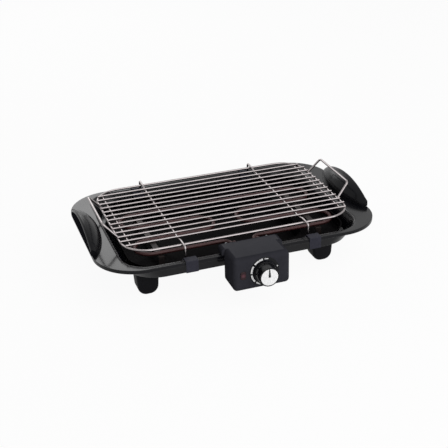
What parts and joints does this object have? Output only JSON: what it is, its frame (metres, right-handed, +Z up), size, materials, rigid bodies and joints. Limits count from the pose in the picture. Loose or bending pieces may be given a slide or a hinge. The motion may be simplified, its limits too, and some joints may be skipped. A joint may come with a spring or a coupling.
{
  "type": "electric barbecue grill",
  "caption": "Lidless table-top electric grill: black moulded tub with wing grips, lift-out drip pan, tubular heater with a front control box and knob, and a chromed wire rack on legs.",
  "frame": {"origin": "middle of the footprint's box at table level, under the pads of the feet", "axes": "+X along the long side to the right as seen from the knob, +Y to the rear, +Z up"},
  "size_m": [0.534, 0.42, 0.1401],
  "materials": {
    "gloss_black": "moulded, high gloss",
    "foot_black": "moulded, satin",
    "rubber": "matt",
    "steel": "plain",
    "clip_grey": "moulded, satin",
    "enamel": "black enamel",
    "element_sheath": "heat-darkened sheath",
    "box_black": "moulded, semi gloss",
    "dial_black": "moulded, gloss",
    "electrical": "plain",
    "lens_red": "clear red",
    "lamp_glass": "clear",
    "knob_black": "moulded, gloss",
    "knob_silver": "satin",
    "chrome": "bright plated wire"
  },
  "bodies": {
    "base": {"base_tray": "gloss_black", "front_left_foot": "foot_black", "front_right_foot": "foot_black", "rear_left_foot": "foot_black", "rear_right_foot": "foot_black", "foot_pads": "rubber", "foot_screws": "steel", "right_grip": "gloss_black", "left_grip": "gloss_black", "grip_screws": "steel", "rack_clips": "clip_grey"},
    "drip_pan": {"drip_pan": "enamel"},
    "heater_unit": {"heating_element": "element_sheath", "element_terminals": "steel", "element_supports": "steel", "element_bracket": "steel", "bracket_screws": "steel", "control_housing": "box_black", "control_back_cover": "box_black", "cover_screws": "steel", "cord_gland": "rubber", "dial_ring": "dial_black", "thermostat": "electrical", "thermostat_nut": "steel", "thermal_cutout": "electrical", "indicator_lens": "lens_red", "indicator_lamp": "lamp_glass", "terminal_block": "electrical", "internal_leads": "electrical"},
    "knob": {"knob_body": "knob_black", "knob_cap": "knob_silver", "knob_pointer": "knob_black", "thermostat_shaft": "steel"},
    "rack": {"rack_frame": "chrome", "rack_bars": "chrome", "rack_leg_wires": "chrome", "rack_end_wires": "chrome", "left_rack_handle": "chrome", "right_rack_handle": "chrome"}
  },
  "joints": [
    {"name": "pan_lift", "type": "slide", "parent": "base", "child": "drip_pan", "axis": [0, 0, 1], "range_m": [0, 0.06]},
    {"name": "heater_lift", "type": "slide", "parent": "drip_pan", "child": "heater_unit", "axis": [0, 0, 1], "range_m": [0, 0.06]},
    {"name": "rack_lift", "type": "slide", "parent": "heater_unit", "child": "rack", "axis": [0, 0, 1], "range_m": [0, 0.06]},
    {"name": "knob_turn", "type": "hinge", "parent": "heater_unit", "child": "knob", "pos_m": [0.0036, -0.1855, 0.0764], "axis": [0, -1, 0], "range_deg": [0, 300]}
  ]
}
